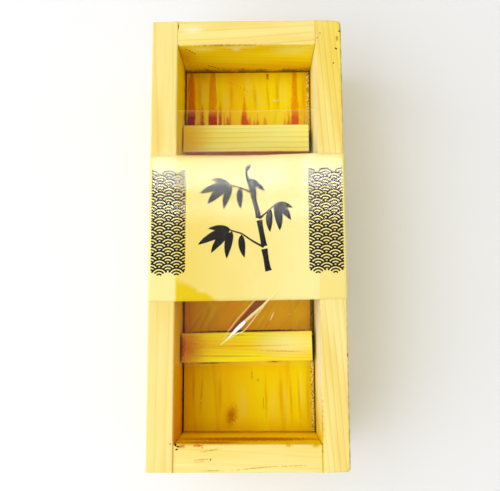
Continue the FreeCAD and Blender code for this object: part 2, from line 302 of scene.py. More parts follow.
def lay_over(material, colour, *masks, mode="MIX"):
    """Lays a colour, plain or one that varies, over a finish, as far as all of the masks let it."""
    tree = material.node_tree
    cover, *others = masks or (1.0,)
    for mask in others:
        cover = node(tree, "Math", (cover, mask), operation="MULTIPLY")
    shown = tree.nodes["Principled BSDF"].inputs["Base Color"]
    layers = {0: cover, 6: shown.links[0].from_socket, 7: linear(colour) if isinstance(colour, str) else colour}
    tree.links.new(node(tree, "Mix", layers, out=2, data_type="RGBA", blend_type=mode), shown)


def marks(material, colour, places, soft=0.5, ragged=0.3, strength=1.0):
    """Stains a finish with oval marks. Each place is (centre, radii, angle), in mm and degrees.
    soft is the share of the radius over which a mark fades, and ragged how rough its outline is."""
    tree = material.node_tree
    place = node(tree, "TexCoord", (), out=3)
    rough = node(tree, "TexNoise", {"Vector": place, "Scale": 1 / (RAGGED_GRAIN * MM)})
    nearest = 9.0
    for centre, radii, angle in places:
        oval = {"Vector": place, "Location": Vector(centre) * MM, "Scale": Vector(radii) * MM}
        oval["Rotation"] = (0, 0, math.radians(angle))
        away = node(tree, "Mapping", oval, vector_type="TEXTURE")
        away = node(tree, "VectorMath", (away,), out=1, operation="LENGTH")
        nearest = node(tree, "Math", (nearest, away), operation="MINIMUM")
    nearest = node(tree, "Math", (rough, 4 * ragged, nearest), operation="MULTIPLY_ADD")
    mask = (nearest, 1.0 + 2 * ragged, 1.0 - soft + 2 * ragged, 0.0, strength)
    lay_over(material, colour, node(tree, "MapRange", mask, interpolation_type="SMOOTHSTEP"))


def well_faces(material, colour, foot, grime, mode="MULTIPLY", strength=1.0):
    """Tones the faces inside the box with a colour painted in for their light and shade, darkens them towards the
    foot as painted shade, and speckles them with grime along the lid's line."""
    tree = material.node_tree
    inside = []
    for k, limit in ((0, well_x), (1, well_y)):
        reach = node(tree, "Math", (axis(material, k),), operation="ABSOLUTE")
        inside.append(node(tree, "MapRange", (reach, limit + 0.5, limit + 0.25)))
    inside = node(tree, "Math", inside, operation="MULTIPLY")
    height = axis(material, 2)
    worn = node(tree, "MapRange", (height, rim - 0.3, rim - 1.2))
    inside = node(tree, "Math", (inside, worn), operation="MULTIPLY")
    lay_over(material, colour, inside, strength, mode=mode)
    # Painted shade: the faces darken towards the foot, where less light reaches.
    shade_towards_foot = node(tree, "MapRange", (height, lid + 20, lid))
    lay_over(material, foot, shade_towards_foot, inside, mode="MULTIPLY")
    # The grime is in specks, thick in some patches and nearly gone in others, and reaches 1 to 5 mm up.
    place = node(tree, "TexCoord", (), out=3)
    speckle = {"Vector": place, "Scale": 1 / (GRIME_SPECK * MM), "Detail": 3.0, "Roughness": 0.7}
    speckle = node(tree, "TexNoise", speckle)
    patch = node(tree, "TexNoise", {"Vector": place, "Scale": 1 / (GRIME_PATCH * MM), "Detail": 1.0})
    level = node(tree, "Math", (speckle, -20.0, height), operation="MULTIPLY_ADD")
    level = node(tree, "Math", (patch, -10.0, level), operation="MULTIPLY_ADD")
    line = node(tree, "MapRange", (level, lid - 10.4, lid - 14.2, 0.0, grime), interpolation_type="SMOOTHSTEP")
    lay_over(material, GRIME, line, inside)


left_cypress = cypress(
    "planed cypress, left board", "#FCE892", "#F6D870", "#E4C44C", pith=(-54, 0, 34), lean=(1.0, 1.6), line=0.5,
    seed=1,
)
# Inside, the face is painted a deeper golden as shade, darker towards its foot.
well_faces(left_cypress, "#FFF828", "#FFF6DC", grime=0.6)
# The near end of the left inner face is painted darkest, as shade: it gets the least light.
tree = left_cypress.node_tree
inner = node(tree, "MapRange", (axis(left_cypress, 0), -32.8, -32.4))
toward_near_end = node(tree, "MapRange", (axis(left_cypress, 1), 10.0, -88.0))
lay_over(left_cypress, "#F0BCAC", inner, toward_near_end, mode="MULTIPLY")
marks(left_cypress, GRIME, [((-33.4, -89.9, rim), (0.35, 0.35, 2), 0)], ragged=0.1)
right_cypress = cypress(
    "planed cypress, right board", "#FFEE9C", "#F8DA70", "#E4C044", pith=(-40, 0, 44), lean=(-1.0, -5.0), line=0.8,
    seed=2,
)
# Inside, the face is mixed towards a pale colour as painted light, and darkened towards its foot as painted shade.
well_faces(right_cypress, "#FFFFD8", "#FFF278", grime=0.2, mode="MIX", strength=0.82)
# Its inner face is painted palest, as the face the light falls on, and turns golden near the end.
tree = right_cypress.node_tree
inner = node(tree, "MapRange", (axis(right_cypress, 0), 32.8, 32.4))
toward_near_end = node(tree, "MapRange", (axis(right_cypress, 1), -64.0, -90.0))
lay_over(right_cypress, "#FFEE50", inner, toward_near_end, mode="MULTIPLY")
marks(
    right_cypress, GRIME,
    [
        ((34.2, 95.4, rim), (0.35, 0.35, 2), 0),
        ((33.0, 93.2, rim), (0.3, 0.3, 2), 0),
        ((43.2, 96.3, rim), (0.6, 0.5, 2), 0),
        ((41.5, 87.8, rim), (0.9, 0.45, 2), -30),
        ((40.2, 80.8, rim), (0.45, 0.45, 2), 0),
    ],
    ragged=0.2,
)
marks(right_cypress, "#C98A1E", [((42.1, 92.9, rim), (0.8, 2.2, 2), 0)], soft=0.9)
marks(right_cypress, "#B8301A", [((43.8, -52.4, rim), (0.6, 0.9, 2), 0)])
marks(right_cypress, "#D8980C", [((31.9, -82.0, rim), (1.2, 16.0, 3), 0)], soft=0.95, ragged=0.3, strength=0.9)
marks(right_cypress, "#8A4E10", [((31.9, -91.5, rim), (0.5, 3.5, 3), 0)], soft=0.8, strength=0.9)
# Its far end is deeper in colour, and its outer arris is darker in patches, most of all towards its two ends.
golden = node(tree, "MapRange", (axis(right_cypress, 1), 10.0, 85.0))
outer = node(tree, "MapRange", (axis(right_cypress, 0), 33.0, 42.0, 0.3, 1.0))
lay_over(right_cypress, "#FCF4A4", golden, outer, mode="MULTIPLY")
arris = node(tree, "MapRange", (axis(right_cypress, 0), 43.2, 43.7))
top = node(tree, "MapRange", (axis(right_cypress, 2), rim - 1.6, rim - 0.8))
ends = node(tree, "Math", (axis(right_cypress, 1),), operation="ABSOLUTE")
ends = node(tree, "MapRange", (ends, 30.0, 95.0, 0.25, 1.0))
place = node(tree, "TexCoord", (), out=3)
dark_patch = node(tree, "TexNoise", {"Vector": place, "Scale": 1 / (DARK_PATCH_SPACING * MM), "Detail": 3.0})
dark_patch = node(tree, "MapRange", (dark_patch, 0.4, 0.7, 0.2, 1.0))
lay_over(right_cypress, "#5C3206", arris, top, ends, dark_patch)
far_cypress = cypress(
    "planed cypress, far board", RIM_PALE, RIM_WARM, RIM_LATE, along="X", pith=(0, 115, 30), lean=(0.6, -3.2),
    ring=2.2, line=0.65, seed=3,
)
# Inside, the face is painted a deeper golden as shade, darkest towards its foot.
well_faces(far_cypress, "#FFFF38", "#EDD3BC", grime=0.75)
marks(far_cypress, "#6A3804", [((-32.0, 99.6, rim), (0.6, 2.6, 2), 0)], soft=0.6)
marks(far_cypress, "#A86A10", [((-10.0, 90.0, rim - 0.4), (21.0, 0.6, 0.8), 0)], soft=0.8, ragged=0.5, strength=0.8)
# Pale patches at the top of the inner face are painted light, where light from above falls on it.
marks(
    far_cypress, "#FFF480",
    [
        ((-21.0, 90.0, 59.5), (10.0, 1.5, 4), 0),
        ((-4.0, 90.0, 61.5), (14.0, 1.5, 2.5), 0),
        ((22.0, 90.0, 57.5), (15.0, 1.5, 8), 0),
    ],
    soft=0.98, ragged=0.15, strength=0.65,
)
marks(far_cypress, "#D88408", [((-31.0, 90.0, 52.0), (8.0, 1.5, 13), 0)], soft=0.95, strength=0.5)
# A paler spot on the inner face is a painted glint.
marks(far_cypress, "#FFFCE4", [((-4.9, 90.0, 59.0), (3.0, 1.5, 2.8), 0)], soft=0.95, strength=0.45)
marks(far_cypress, "#FFF4C8", [((-25.0, 97.5, rim), (6.5, 2.5, 2), 6)], soft=0.95, strength=0.8)
# A broken scratch runs down the inner face.
scratch = [((-28.4 + 1.1 * i, 90, 59.6 - 1.6 * i), (0.7, 1, 0.6), 0) for i in range(4)]
scratch += [((-19.4 + 1.5 * i, 90, 40.4 - 1.1 * i), (0.7, 1, 0.7), 0) for i in range(4)]
marks(far_cypress, GRIME, scratch, strength=0.85)
near_cypress = cypress(
    "planed cypress, near board", RIM_PALE, RIM_WARM, RIM_LATE, along="X", pith=(0, -60, -8), lean=(0.5, 2.0),
    line=0.35, seed=4,
)
# Inside, the face is painted a deeper golden as shade, darker towards its foot.
well_faces(near_cypress, "#FFF028", "#FFF4E0", grime=0.2)
marks(near_cypress, "#C06004", [((0, -90, 51.0), (42, 1.5, 6.5), 0)], soft=0.6, strength=0.9)
marks(near_cypress, "#FFD008", [((18, -90, 61.0), (20, 1.2, 2.5), 0)], soft=0.7, strength=0.8)
marks(near_cypress, "#D06404", [((-16, -90, 59.5), (20, 1.5, 5.0), 0)], soft=0.8, ragged=0.2, strength=0.8)
marks(
    near_cypress, "#E07C04",
    [((-28.2, -90.9, rim), (2.0, 0.9, 1.5), 0), ((-21.5, -90.6, rim), (2.6, 0.7, 1.5), 0)],
    soft=0.7,
)
marks(
    near_cypress, "#ECC01C",
    [((17.5, -90.6, rim), (2.2, 1.0, 1.5), 0), ((29.4, -90.7, rim), (2.2, 1.1, 1.5), 0)],
    soft=0.8,
)
marks(
    near_cypress, "#D0A020",
    [
        ((-15.6, -92.5, rim), (5.2, 0.35, 2), 9),
        ((-19.6, -96.4, rim), (5.0, 0.4, 2), 5),
        ((-20.0, -97.3, rim), (4.0, 0.3, 2), 3),
        ((3.0, -100.0, rim), (14.0, 0.35, 2), 5),
        ((20.0, -99.0, rim), (7.0, 0.25, 2), 2),
        ((-15.0, -101.0, rim), (6.0, 0.4, 2), 2),
    ],
    soft=0.9, ragged=0.4, strength=0.85,
)
marks(
    near_cypress, GRIME,
    [
        ((-31.2, -90.2, rim), (0.5, 0.9, 3), 20),
        ((-30.0, -91.0, rim), (0.9, 0.4, 3), -15),
        ((-30.6, -92.2, rim), (0.8, 0.4, 3), 20),
        ((-19.6, -91.5, rim), (0.3, 0.3, 2), 0),
        ((-16.0, -96.5, rim), (0.35, 0.35, 2), 0),
    ],
    soft=0.4, ragged=0.15,
)

right_chips = (((44, 102, rim), 6, 1.2), ((44, -102, rim), 5, 1.0))
near_chips = (((-24, -90, rim), 6, 0.8), ((-29, -90, rim), 3, 0.6), ((28, -90, rim), 4, 0.5))
for name, stands_for, material, seed, chips in (
    ("left_board", "left_side_board", left_cypress, 3, ()),
    ("right_board", "right_side_board", right_cypress, 7, right_chips),
    ("far_board", "far_end_board", far_cypress, 11, ()),
    ("near_board", "near_end_board", near_cypress, 15, near_chips),
):
    plank(
        name, *box_mm(stands_for), FRAME_EDGE, material, "frame", [stands_for], "frame_wood", seed, chips=chips,
        butted=lambda where: abs(abs(where.x) - well_x) < 1.5 and abs(where.y) > well_y + 0.3,
    )


# Corner nails
# Plain round-headed steel nails, driven flush through the side boards. Drawn steel is a dull grey with a
# little brown bloom of rust.
NAIL_GRIT = 0.5  # mm across a patch of bloom

nail_steel, tree, shader = bare_finish("drawn steel, slightly rusted", 0.4)
shader.inputs["Metallic"].default_value = 1.0
place = node(tree, "TexCoord", (), out=3)
bloom = node(tree, "TexNoise", {"Vector": place, "Scale": 1 / (NAIL_GRIT * MM), "Detail": 3.0})
colour = node(tree, "ValToRGB", (bloom,), stops=((0.35, "#B9B5AC"), (0.75, "#7A5230"), (0.6, "#8F8778")))
tree.links.new(colour, shader.inputs["Base Color"])
tree.links.new(node(tree, "MapRange", (bloom, 0.35, 0.7, 0.3, 0.65)), shader.inputs["Roughness"])
for name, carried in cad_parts.items():
    if name.endswith("_nails"):
        carried.data.materials.clear()
        carried.data.materials.append(nail_steel)


# Press board
# The lid that is pushed down on the rice: one flat-sawn cypress board, painted a deeper golden than the frame as the
# shade down in the box, whose red heartwood runs out in pointed flames towards the far end. It lies loose in the
# box, with grime and painted shade round it.
LID_PALE, LID_WARM, LID_LATE = "#FFF008", "#FFDC04", "#D09804"
LID_EDGE = 0.3
LID_SPECK, RED_GRAIN, REFLECTION_STREAK = 0.6, 0.5, 1.6  # mm across a speck of grime, a grain of red and a painted reflection streak
FLAME_FOOT = 62.0  # y where the flames are at their widest
FLAME_REACH = 28.0  # mm
FLAME_DENTS = 0.6  # to a mm across in a flame's outline, and a quarter as many along
# x of each flame, its half width at the foot, its length as a share of the reach, and its strength
FLAMES = (
    (-28.9, 2.3, 1.8, 1.0),
    (-25.7, 0.6, 0.15, 0.9),
    (-23.2, 1.2, 0.4, 0.9),
    (-17.9, 2.6, 2.0, 1.0),
    (-14.2, 1.3, 0.55, 0.9),
    (-11.9, 0.7, 0.2, 0.8),
    (-10.5, 0.7, 0.17, 0.8),
    (-9.2, 0.7, 0.25, 0.7),
    (-1.7, 2.0, 0.62, 1.0),
    (1.1, 0.9, 0.16, 0.8),
    (3.2, 1.0, 0.12, 0.7),
    (5.0, 0.8, 0.16, 0.8),
    (8.7, 1.0, 0.13, 0.6),
    (18.8, 0.7, 0.12, 0.6),
    (20.6, 1.0, 0.26, 0.8),
    (23.9, 2.1, 1.9, 0.9),
    (27.2, 0.4, 0.5, 0.4),
    (28.8, 0.4, 0.3, 0.4),
)
press_low, press_high = box_mm("press_board")
press_cypress = cypress(
    "planed cypress, heartwood lid", LID_PALE, LID_WARM, LID_LATE, pith=(4, 0, -30), lean=(-1.0, 0.3), ring=3.4,
    line=0.3, seed=5,
)
tree = press_cypress.node_tree
x, y = axis(press_cypress, 0), axis(press_cypress, 1)
fine = node(tree, "CombineXYZ", (x, node(tree, "Math", (y, 0.25), operation="MULTIPLY")))
ragged = node(tree, "TexNoise", {"Vector": fine, "Scale": FLAME_DENTS, "Detail": 3.0})
ragged = node(tree, "MapRange", (ragged, 0.25, 0.75, -0.7, 0.7))
up = node(tree, "Math", (y, FLAME_FOOT), operation="SUBTRACT")
flames = 0.0
for flame_x, half_width, length, strength in FLAMES:
    side = node(tree, "Math", (x, flame_x), operation="SUBTRACT")
    side = node(tree, "Math", (side,), operation="ABSOLUTE")
    inside = (up, -half_width / (length * FLAME_REACH), half_width)
    inside = node(tree, "Math", inside, operation="MULTIPLY_ADD")
    inside = node(tree, "Math", (inside, side), operation="SUBTRACT")
    inside = node(tree, "Math", (inside, ragged), operation="ADD")
    inside = node(tree, "MapRange", (inside, -0.6, 0.7, 0.0, strength), interpolation_type="SMOOTHSTEP")
    flames = node(tree, "Math", (flames, inside), operation="MAXIMUM")
# Towards the far edge the red breaks up into grains, drawn coarse so that they show, and past y 66 to 70 it is
# painted a lighter orange as a painted haze of light reflected off film over it.
place = node(tree, "TexCoord", (), out=3)
grains = node(tree, "TexNoise", {"Vector": place, "Scale": 1 / (RED_GRAIN * MM)})
whole = node(tree, "MapRange", (y, 70.0, 66.0, 0.55, 1.0))
grains = node(tree, "MapRange", {0: grains, 1: 0.4, 2: 0.6, 3: whole, 4: 1.0})
fade = node(tree, "MapRange", (y, 28.0, 46.0), interpolation_type="SMOOTHSTEP")
far_off = node(tree, "MapRange", (y, 66.0, 70.0))
across = node(tree, "MapRange", (x, press_low.x, press_high.x))
deep = ((0.04, "#9C2404"), (0.9, "#DA4402"), (0.22, "#C03404"), (0.5, "#DA5E02"))
deep = node(tree, "ValToRGB", (across,), stops=deep)
clear = node(tree, "ValToRGB", (across,), stops=((0.04, "#DC7802"), (0.9, "#E88002"), (0.22, "#EA8402")))
heart = node(tree, "Mix", {0: far_off, 6: deep, 7: clear}, out=2, data_type="RGBA")
lay_over(press_cypress, heart, flames, grains, fade)
# Towards the lid's edge the wood is painted browner, as shade from the walls round it, with a line of grime in
# specks along it.
middle_x = (press_low.x + press_high.x) / 2
edge_x = node(tree, "Math", (x, middle_x), operation="SUBTRACT")
edge_x = node(tree, "Math", (edge_x,), operation="ABSOLUTE")
edge_x = node(tree, "Math", (edge_x, (press_high.x - press_low.x) / 2), operation="SUBTRACT")
edge_y = node(tree, "Math", (y,), operation="ABSOLUTE")
edge_y = node(tree, "Math", (edge_y, press_high.y), operation="SUBTRACT")
edge = node(tree, "Math", (edge_x, edge_y), operation="MAXIMUM")
lay_over(press_cypress, "#D88C70", node(tree, "MapRange", (edge, -7.0, 0.0, 0.0, 0.3)), mode="MULTIPLY")
speckle = {"Vector": place, "Scale": 1 / (LID_SPECK * MM), "Detail": 3.0, "Roughness": 0.7}
speckle = node(tree, "TexNoise", speckle)
edge = node(tree, "Math", (speckle, 5.0, edge), operation="MULTIPLY_ADD")
edge = node(tree, "MapRange", (edge, 2.1, 3.0, 0.0, 0.5), interpolation_type="SMOOTHSTEP")
short_of_far = node(tree, "MapRange", (y, 60.0, 50.0))
short_of_near = node(tree, "MapRange", (y, -86.0, -82.0, 0.4, 1.0))
lay_over(press_cypress, GRIME, edge, short_of_far, short_of_near)
# The lid is toned in broad bands: dark at the left edge as painted shade under the left wall, orange left of the
# middle.
bands = (
    (0.0, "#FFDCFF"), (1.0, "#FAFAFF"), (0.1, "#FFEEFF"), (0.22, "#FFFFFF"), (0.36, "#FFECFF"), (0.5, "#FFF8FF"),
    (0.7, "#FFFFFF"),
)
lay_over(press_cypress, node(tree, "ValToRGB", (across,), stops=bands), mode="MULTIPLY")
# Between the battens it is painted browner, as shade under the band and battens, with slanting streaks painted as
# reflections of creased film.
between = node(tree, "Math", (node(tree, "Math", (y, 4.0), operation="SUBTRACT"),), operation="ABSOLUTE")
between = node(tree, "MapRange", (between, 46.8, 46.2))
lay_over(press_cypress, "#FFE4FF", between, mode="MULTIPLY")
film_reflection_streaks = node(tree, "Mapping", {"Vector": place, "Rotation": (0, 0, math.radians(33))})
film_reflection_streaks = node(tree, "VectorMath", (film_reflection_streaks, (1, 0.1, 1)), operation="MULTIPLY")
film_reflection_streaks = node(tree, "TexNoise", {"Vector": film_reflection_streaks, "Scale": 1 / (REFLECTION_STREAK * MM)})
film_reflection_streaks = node(tree, "MapRange", (film_reflection_streaks, 0.45, 0.75, 0.0, 0.32))
lay_over(press_cypress, "#A85C04", film_reflection_streaks, between)
# A strip along the right edge of its top has gone sandy with dust, and is painted browner between the battens, as
# shade.
dusty = node(tree, "MapRange", (x, 29.9, 30.2))
upper = node(tree, "MapRange", (axis(press_cypress, 2), lid - 1.5, lid - 0.5))
dust = node(tree, "ValToRGB", (speckle,), stops=((0.38, "#1A1004"), (0.6, "#FFEC90"), (0.46, "#DCB034")))
lay_over(press_cypress, dust, dusty, upper)
lay_over(press_cypress, "#A08A30", dusty, upper, between, mode="MULTIPLY")


def streak(x0, y0, x1, y1, half_width):
    """The place, radii and angle of a mark along a straight streak of the lid's grain."""
    long = math.hypot(x1 - x0, y1 - y0)
    angle = math.degrees(math.atan2(x0 - x1, y1 - y0))
    return ((x0 + x1) / 2, (y0 + y1) / 2, lid), (half_width, 0.55 * long, 2), angle


marks(
    press_cypress, "#DC9A02",
    [
        streak(16.1, -89, 15.0, -58, 1.5),
        streak(20.8, -89, 19.6, -58, 1.0),
        streak(24.9, -89, 23.4, -58, 1.0),
        streak(11.4, 64, 9.4, 89, 0.9),
        streak(16.1, 66, 14.3, 89, 1.2),
        streak(8.6, -88, 8.0, -60, 0.9),
    ],
    soft=0.95, ragged=0.15, strength=0.5,
)
marks(
    press_cypress, "#CC8C02",
    [
        streak(-27.2, -80, -26.3, -59, 0.8),
        streak(-24.0, -86, -21.8, -58, 0.8),
        streak(-14.1, -84, -13.7, -60, 1.2),
        streak(28.5, -88, 28.2, -58, 0.8),
        streak(-8.3, 68, -8.6, 87, 1.3),
        streak(4.2, 68, 3.2, 85, 1.4),
        streak(28.6, 66, 28.4, 88, 0.9),
        streak(-24.6, 66, -24.2, 88, 1.1),
    ],
    soft=0.98, ragged=0.2, strength=0.4,
)
# Red-brown lines in the corners between the lid and the battens are dirt and painted shade, and the gaps at their
# right ends are painted near black as shade.
dirt_and_corner_shade = [streak(-30, -57.6, -8, -57.2, 0.5), streak(8, -56.9, 16, -56.8, 0.4)]
marks(press_cypress, "#5E2002", dirt_and_corner_shade, soft=0.8, ragged=0.5, strength=0.85)
marks(press_cypress, "#5E2002", [streak(-33, -42.75, 33, -41.75, 0.95)], soft=0.55, ragged=0.25, strength=0.95)
marks(
    press_cypress, "#120C04", [((31.0, -49.6, lid), (1.4, 8.5, 2), 0), ((31.0, 51.3, lid), (1.4, 8.5, 2), 0)],
    soft=0.4,
)
marks(
    press_cypress, "#F6E468",
    [
        streak(18.3, -88, 17.5, -64, 1.8),
        streak(12.0, -88, 11.8, -66, 2.8),
        streak(25.8, -84, 25.2, -58, 2.2),
        streak(-10.8, 66, -11.0, 82, 3.0),
        streak(0.4, 72, 0.0, 92, 2.6),
        streak(6.6, 64, 6.0, 84, 3.0),
        streak(19.0, 66, 18.0, 88, 3.4),
        streak(-22.5, 68, -22.5, 86, 2.4),
        streak(-3.0, -88, -3.0, -66, 3.5),
    ],
    soft=0.98, ragged=0.2, strength=0.3,
)
marks(press_cypress, "#A84C06", [streak(10.1, 85.5, 10.0, 90, 1.0)], soft=0.8, strength=0.8)
scratch = [((-8.9 + 1.75 * i, 84.5 - 0.95 * i, lid), (0.5, 0.22, 2), -30) for i in range(6)]
marks(press_cypress, GRIME, scratch, soft=0.7, strength=0.75)
marks(
    press_cypress, "#A8641A",
    [
        ((1.55, -62.7, lid), (0.3, 4.0, 2), 1),
        ((4.5, -65.5, lid), (0.3, 1.3, 2), 0),
        ((7.05, -76.2, lid), (0.25, 3.6, 2), 1),
    ],
    soft=0.8, strength=0.8,
)
marks(press_cypress, "#C26202", [((-8.4, -82.4, lid), (4.2, 7.0, 2), -14)], soft=0.95, ragged=0.2, strength=0.8)
# Pale specks and a crossed pair of strokes are painted glints of light off creased film.
marks(
    press_cypress, "#F6E8B0",
    [
        ((-23.1, -75.4, lid), (0.35, 0.4, 2), 20),
        ((-7.2, -85.7, lid), (0.35, 0.4, 2), 0),
        ((20.3, -33.9, lid), (0.5, 0.3, 2), 0),
        ((13.7, 74.9, lid), (0.9, 0.35, 2), -40),
        ((15.2, 74.8, lid), (1.1, 0.35, 2), 35),
    ],
    ragged=0.1,
)
# The real board all but fills the box, and its right edge is lost in dust.
press_low = press_low - Vector((0.0, 0.3, 0.0))
press_high = press_high + Vector((1.55, 0.3, 0.0))
plank("press_lid", press_low, press_high, LID_EDGE, press_cypress, "press", ["press_board"], "press_wood", seed=21)


# Press battens
# Two thumb grips across the lid, pegged from below, the near one set a little askew. They are quarter-sawn
# cypress, so their grain is fine and straight. The near one is deeper yellow with brown patches and lines, and
# painted shade deepens their left ends and the far one's near face.
BATTEN_EDGE = 0.5

far_batten_low, far_batten_high = box_mm("far_press_batten")
batten_half = (far_batten_high - far_batten_low) / 2
for end, pale, warm, skew in (("far", "#FFF88A", "#FFEE5C", 0.0), ("near", "#FFF00A", "#FED006", 0.9)):
    batten_cypress = cypress(
        f"planed cypress, {end} batten", pale, warm, "#D49A14", along="X", pith=(0, 30, 20), lean=(0, 0.4 + skew),
        ring=1.5, line=0.6, seed=6,
    )
    if end == "far":
        # Painted shade: deeper golden at its left end, under the left wall, and orange-brown along its near face.
        marks(batten_cypress, "#FFD004", [((-31.0, 51.3, 44), (18, 20, 9), 0)], soft=0.98, ragged=0.1, strength=0.95)
        marks(batten_cypress, "#D27C10", [((0, far_batten_low.y, 38), (70, 0.6, 16), 0)], soft=0.5, ragged=0.1)
    else:
        marks(batten_cypress, "#FFF490", [((19, -47.5, 44), (21, 9, 9), 0)], soft=0.98, ragged=0.0, strength=0.9)
        marks(
            batten_cypress, "#D08008",
            [
                ((-2.0, -48.9, 44), (33.0, 0.4, 3), 1),
                ((-10.0, -53.6, 44), (22.0, 0.7, 3), 0),
                ((-6.0, -44.0, 44), (9.0, 0.8, 3), 4),
                ((16.0, -51.4, 44), (14.0, 0.5, 3), -2),
            ],
            soft=0.9, ragged=0.25, strength=0.55,
        )
        # Painted shade: orange-brown at its left end, under the left wall, and darkest at the very end.
        marks(batten_cypress, "#E47C04", [((-31, -49.6, 44), (15, 15, 9), 0)], soft=0.98, ragged=0.2, strength=0.95)
        marks(batten_cypress, "#8A3C02", [((-31, -49.6, 44), (2.0, 9, 9), 0)], soft=0.9, ragged=0.5, strength=0.7)
    batten = f"{end}_press_batten"
    low, high = box_mm(batten)
    middle = (low + high) / 2
    plank(
        f"{end}_batten", middle - batten_half, middle + batten_half, BATTEN_EDGE, batten_cypress, "press", [batten],
        "batten_wood", seed=25, skew=skew, step=2.0,
    )


# Paper band
# A wide band of cream printed paper, folded over the box. It rests on the rims and sags into the opening.
# Uncoated paper looks matt and evenly pale, a little cloudy where it was pulped.
PAPER = 0.2  # mm thick
PAPER_TOP = 64.25  # height of its upper face on the rims
PAPER_SIDE = 44.25  # from the middle to its outer faces on the side boards
PAPER_INSET = 0.4  # mm that its cut edges stop inside their space
PULP = 6.0  # mm across a cloud of pulp
FOLD = 1.0  # radius of its folds
BAND_SLANT = math.tan(math.radians(0.6))
band_low, band_high = box_mm("paper_band")
reach = PAPER_SIDE - FOLD
fold_length = FOLD * math.pi / 2
path_end = reach + fold_length + PAPER_TOP - FOLD - band_low.z


def sag(x, y):
    """How far the paper hangs into the opening: most at its two free edges."""
    over = max(0.0, 1 - (x / (well_x - 1)) ** 2)
    along = min(1.0, abs(2 * y - band_low.y - band_high.y) / (band_high.y - band_low.y))
    ripple = 0.15 * noise.noise(Vector((x / 19, y / 23, 3.1)))
    return over**1.5 * (1.1 + 0.9 * along * along) + over * ripple


def on_band(across, y, lift=0.0, sag=sag, slant=BAND_SLANT):
    """A place on the paper's outer face, by the distance across from its middle line and off it, in metres."""
    side = math.copysign(1, across)
    path = abs(across)
    if path <= reach:
        point = Vector((across, y, PAPER_TOP + lift - sag(across, y)))
    elif path <= reach + fold_length:
        turn = (path - reach) / FOLD
        out = FOLD + lift
        point = Vector((side * (reach + out * math.sin(turn)), y, PAPER_TOP - FOLD + out * math.cos(turn)))
    else:
        point = Vector((side * (PAPER_SIDE + lift), y, PAPER_TOP - FOLD - (path - reach - fold_length)))
    point.y += slant * point.x
    return point * MM


def wrap(name, across, along, lift, material, stands_for, sag=sag, slant=BAND_SLANT):
    """A sheet that follows the band, with a row of points at each distance across and along."""
    points = [on_band(a, y, lift, sag, slant) for a in across for y in along]
    rows = len(along)
    faces = []
    for i in range(len(across) - 1):
        for j in range(rows - 1):
            first = i * rows + j
            faces.append((first, first + rows, first + rows + 1, first + 1))
    return settle(name, points, faces, material, "band", stands_for)


across_stations = np.concatenate(
    [
        np.linspace(-path_end, -reach - fold_length, 16)[:-1],
        np.linspace(-reach - fold_length, -reach, 7)[:-1],
        np.linspace(-reach, reach, 61)[:-1],
        np.linspace(reach, reach + fold_length, 7)[:-1],
        np.linspace(reach + fold_length, path_end, 16),
    ]
)
cream_paper, tree, shader = bare_finish("cream printed paper", 0.65, DULL)
place = node(tree, "TexCoord", (), out=3)
pulp = node(tree, "TexNoise", {"Vector": place, "Scale": 1 / (PULP * MM), "Detail": 3.0})
cream = node(tree, "ValToRGB", (pulp,), stops=((0.3, "#FBE688"), (0.7, "#FCE992")))
tree.links.new(cream, shader.inputs["Base Color"])
x, y = axis(cream_paper, 0), axis(cream_paper, 1)
# The paper is thin: pale rims glow through it, and where it lies on nothing but the dark box it is deeper.
for colour, start, end, strength in (
    ("#F4D85C", 4.0, -28.0, 0.8),
    ("#FFF2A4", 6.0, 26.0, 0.7),
    ("#FBEE9A", -31.6, -32.4, 1.0),
    ("#FBE888", 31.6, 32.4, 1.0),
):
    lay_over(cream_paper, colour, node(tree, "MapRange", (x, start, end, 0.0, strength)))
# A golden patch with a slanting edge at the near left is painted shade where the paper is folded.
slant = node(tree, "Math", (x, 0.5, y), operation="MULTIPLY_ADD")
rough = node(tree, "TexNoise", {"Vector": place, "Scale": 1 / (5 * MM), "Detail": 3.0})
slant = node(tree, "Math", (rough, 5.0, slant), operation="MULTIPLY_ADD")
fold_shade = node(tree, "MapRange", (slant, -31.2, -34.2), interpolation_type="SMOOTHSTEP")
inner = node(tree, "MapRange", (x, -31.9, -31.2))
lay_over(cream_paper, "#ECCC00", fold_shade, inner)
paper_stations = np.linspace(band_low.y + PAPER_INSET, band_high.y - PAPER_INSET, 41)
band = wrap("band", across_stations, paper_stations, 0.0, cream_paper, ["paper_band"])
thickness = band.modifiers.new("paper thickness", "SOLIDIFY")
thickness.thickness = PAPER * MM
thickness.offset = -1.0


# Print on the band
# A brush picture of bamboo in the middle and a strip of overlapping waves, an old all-over pattern, at each
# side. The ink is a soft black that thins where the brush ran dry, and lies on the paper as a raised film.
INK = 0.03  # mm from the paper to the top of the ink
INK_STEP = 1.2  # mm between points along a stroke, short enough to follow the sagging paper
DRY_BRUSH = 1.4  # mm between thin places in the ink
WAVE = 3.85  # radius of a wave
WAVE_LINES = ((1.0, 0.4), (0.66, 0.38), (0.32, 0.36))  # radius as a share of a wave's, and half width in mm
